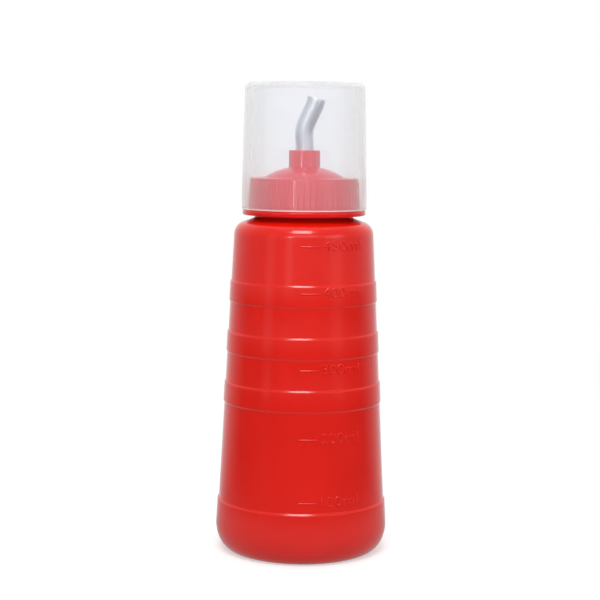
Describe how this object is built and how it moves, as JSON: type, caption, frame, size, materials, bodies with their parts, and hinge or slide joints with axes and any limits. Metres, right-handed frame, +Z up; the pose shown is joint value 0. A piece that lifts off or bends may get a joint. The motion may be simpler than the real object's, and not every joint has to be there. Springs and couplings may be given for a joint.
{
  "type": "squeeze sauce bottle",
  "caption": "Red squeeze bottle for sauce with a screw lid, a bent steel spout and a frosted cover over the spout.",
  "frame": {"origin": "centre of the underside, on the surface that the bottle stands on", "axes": "+Z up through the neck and the cover; the graduations face -Y and the spout leans towards +X"},
  "size_m": [0.0754, 0.0754, 0.206],
  "materials": {
    "bottle_plastic": "satin, blow-moulded",
    "lid_plastic": "glossy, injection-moulded",
    "seal_silicone": "matt",
    "spout_steel": "drawn tube, lightly polished",
    "cover_plastic": "frosted, see-through"
  },
  "bodies": {
    "bottle_body": {"bottle": "bottle_plastic"},
    "seal_body": {"lid_seal": "seal_silicone"},
    "lid_body": {"screw_lid": "lid_plastic", "spout": "spout_steel"},
    "cover_body": {"cover": "cover_plastic"}
  },
  "joints": [
    {"name": "lid_rise", "type": "slide", "parent": "bottle_body", "child": "seal_body", "axis": [0, 0, 1], "range_m": [0, 0.006]},
    {"name": "lid_turn", "type": "hinge", "parent": "seal_body", "child": "lid_body", "pos_m": [0, 0, 0.155], "axis": [0, 0, 1], "range_deg": [0, 540]},
    {"name": "cover_pull", "type": "slide", "parent": "lid_body", "child": "cover_body", "axis": [0, 0, 1], "range_m": [0, 0.06]}
  ],
  "couplings": [
    {"joint": "lid_rise", "follows": "lid_turn", "m_per_rad": 0.0006366}
  ]
}
